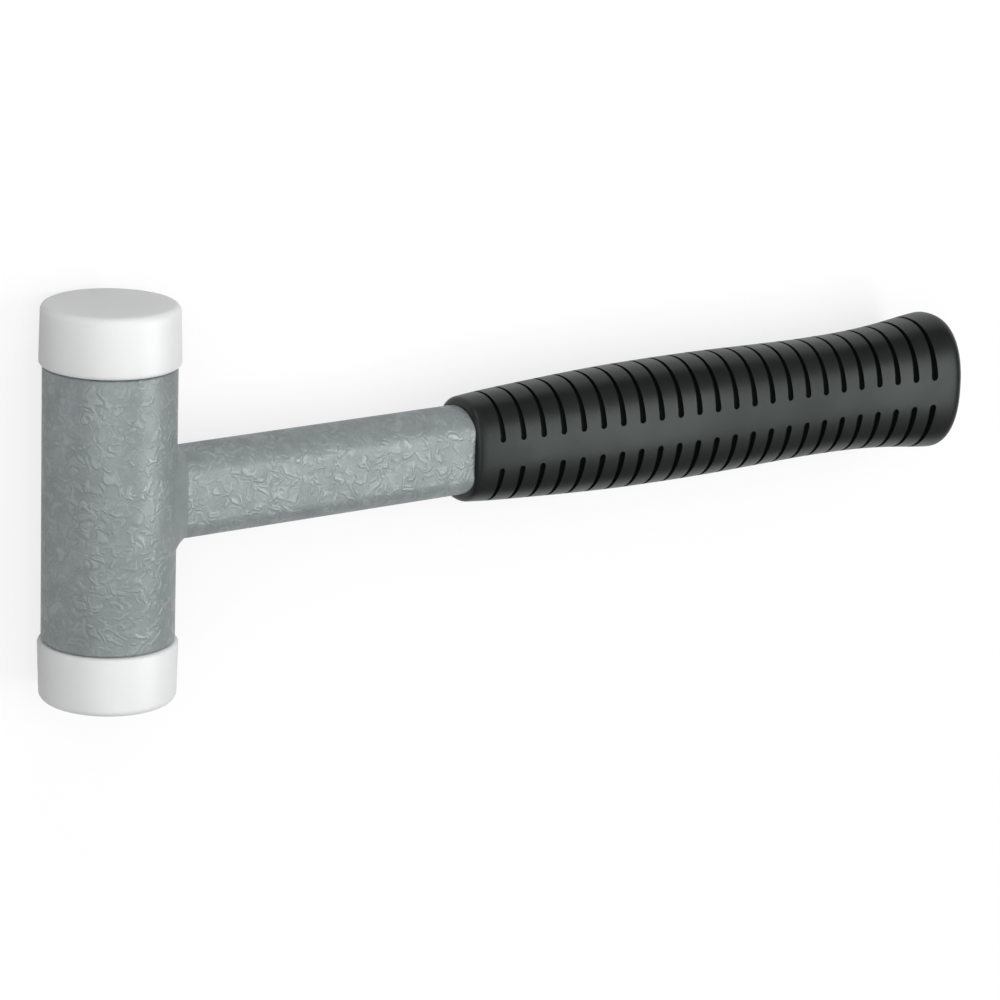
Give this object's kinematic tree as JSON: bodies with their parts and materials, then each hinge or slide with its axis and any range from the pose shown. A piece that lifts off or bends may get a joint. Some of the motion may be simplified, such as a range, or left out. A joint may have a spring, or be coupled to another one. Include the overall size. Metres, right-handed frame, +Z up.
{
  "type": "dead blow hammer",
  "caption": "Dead blow hammer: tubular steel head holding loose shot between pressed-in nylon faces, welded oval tube handle and slotted rubber grip.",
  "frame": {"origin": "middle of the hammer's footprint, on the surface it lies on", "axes": "+X along the handle from the head to the end of the grip, +Y along the head towards the upper face, +Z up, out of the side that faces the viewer in the picture; it lies on its other side"},
  "size_m": [0.2854, 0.1006, 0.035],
  "materials": {
    "hammer_finish_paint": "silver-grey hammer-finish enamel on steel",
    "nylon": "milky white nylon, satin",
    "bare_steel": "bare steel",
    "grip_rubber": "black rubber, matt"
  },
  "bodies": {
    "hammer_body": {"head_tube": "hammer_finish_paint", "handle_tube": "hammer_finish_paint", "handle_weld": "hammer_finish_paint", "rubber_grip": "grip_rubber", "upper_chamber_disc": "bare_steel", "lower_chamber_disc": "bare_steel"},
    "upper_face": {"upper_face": "nylon"},
    "lower_face": {"lower_face": "nylon"},
    "shot_charge": {"shot_layer1_ball1": "bare_steel", "shot_layer1_ball2": "bare_steel", "shot_layer1_ball3": "bare_steel", "shot_layer1_ball4": "bare_steel", "shot_layer1_ball5": "bare_steel", "shot_layer1_ball6": "bare_steel", "shot_layer1_ball7": "bare_steel", "shot_layer2_ball1": "bare_steel", "shot_layer2_ball2": "bare_steel", "shot_layer2_ball3": "bare_steel", "shot_layer2_ball4": "bare_steel", "shot_layer2_ball5": "bare_steel", "shot_layer2_ball6": "bare_steel", "shot_layer2_ball7": "bare_steel", "shot_layer3_ball1": "bare_steel", "shot_layer3_ball2": "bare_steel", "shot_layer3_ball3": "bare_steel", "shot_layer3_ball4": "bare_steel", "shot_layer3_ball5": "bare_steel", "shot_layer3_ball6": "bare_steel", "shot_layer3_ball7": "bare_steel"}
  },
  "joints": [
    {"name": "shot_slide", "type": "slide", "parent": "hammer_body", "child": "shot_charge", "axis": [0, 1, 0], "range_m": [-0.0072, 0.0072]},
    {"name": "upper_face_pull", "type": "slide", "parent": "hammer_body", "child": "upper_face", "axis": [0, 1, 0], "range_m": [0, 0.013]},
    {"name": "lower_face_pull", "type": "slide", "parent": "hammer_body", "child": "lower_face", "axis": [0, -1, 0], "range_m": [0, 0.013]}
  ]
}
